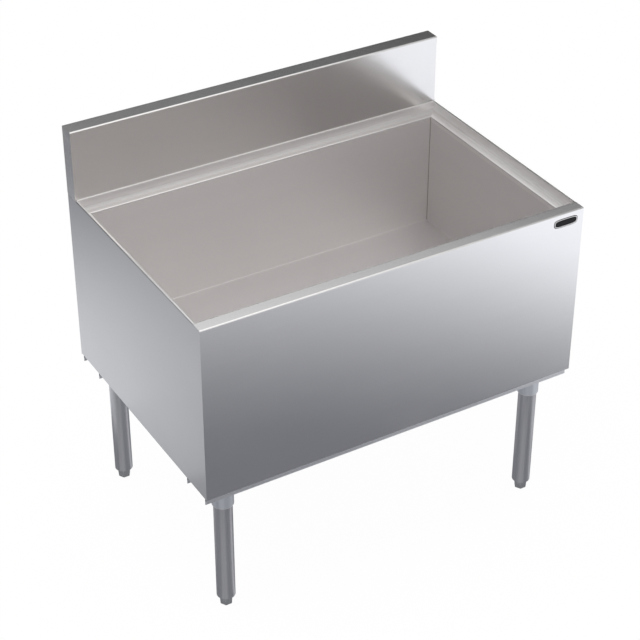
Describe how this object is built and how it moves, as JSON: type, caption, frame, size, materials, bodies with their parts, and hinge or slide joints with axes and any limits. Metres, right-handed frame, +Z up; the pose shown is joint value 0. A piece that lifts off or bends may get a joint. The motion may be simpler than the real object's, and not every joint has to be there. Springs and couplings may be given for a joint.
{
  "type": "underbar ice bin",
  "caption": "Free-standing insulated ice bin of bent sheet steel with a backsplash, a recessed ledge, a drained tank and levelling tube legs.",
  "frame": {"origin": "on the floor, under the middle of the bin's width and depth", "axes": "+Z up, +Y towards the backsplash and the wall, +X to the right seen from the front"},
  "size_m": [0.9144, 0.6096, 0.93],
  "materials": {
    "shell_steel": "satin brushed stainless",
    "tank_steel": "satin stainless",
    "foam": "closed-cell foam",
    "drain_steel": "turned stainless",
    "gasket_rubber": "matt",
    "leg_steel": "drawn stainless tube",
    "screw_steel": "plain",
    "plug_plastic": "matt",
    "foot_metal": "cast stainless"
  },
  "bodies": {
    "bin": {"front_apron": "shell_steel", "left_side_panel": "shell_steel", "right_side_panel": "shell_steel", "back_panel": "shell_steel", "bottom_pan": "shell_steel", "backsplash_shell": "shell_steel", "backsplash_end_left": "shell_steel", "backsplash_end_right": "shell_steel", "ledge_left": "shell_steel", "ledge_right": "shell_steel", "ledge_rear": "shell_steel", "front_leg_channel": "shell_steel", "rear_leg_channel": "shell_steel", "tank_wrap": "tank_steel", "tank_end_left": "tank_steel", "tank_end_right": "tank_steel", "insulation": "foam", "drain_cup": "drain_steel", "drain_locknut": "drain_steel", "drain_pipe": "drain_steel", "drain_gasket": "gasket_rubber", "leg_socket_front_left": "leg_steel", "leg_socket_front_right": "leg_steel", "leg_socket_rear_left": "leg_steel", "leg_socket_rear_right": "leg_steel", "leg_front_left": "leg_steel", "leg_front_right": "leg_steel", "leg_rear_left": "leg_steel", "leg_rear_right": "leg_steel", "socket_set_screws": "screw_steel", "leg_plug_front_left": "plug_plastic", "leg_plug_front_right": "plug_plastic", "leg_plug_rear_left": "plug_plastic", "leg_plug_rear_right": "plug_plastic"},
    "strainer": {"drain_strainer": "drain_steel"},
    "foot_front_left": {"foot_front_left": "foot_metal"},
    "foot_front_right": {"foot_front_right": "foot_metal"},
    "foot_rear_left": {"foot_rear_left": "foot_metal"},
    "foot_rear_right": {"foot_rear_right": "foot_metal"}
  },
  "joints": [
    {"name": "strainer_lift", "type": "slide", "parent": "bin", "child": "strainer", "axis": [0, 0, 1], "range_m": [0, 0.06]},
    {"name": "foot_front_left_level", "type": "slide", "parent": "bin", "child": "foot_front_left", "axis": [0, 0, -1], "range_m": [0, 0.025]},
    {"name": "foot_front_right_level", "type": "slide", "parent": "bin", "child": "foot_front_right", "axis": [0, 0, -1], "range_m": [0, 0.025]},
    {"name": "foot_rear_left_level", "type": "slide", "parent": "bin", "child": "foot_rear_left", "axis": [0, 0, -1], "range_m": [0, 0.025]},
    {"name": "foot_rear_right_level", "type": "slide", "parent": "bin", "child": "foot_rear_right", "axis": [0, 0, -1], "range_m": [0, 0.025]}
  ]
}
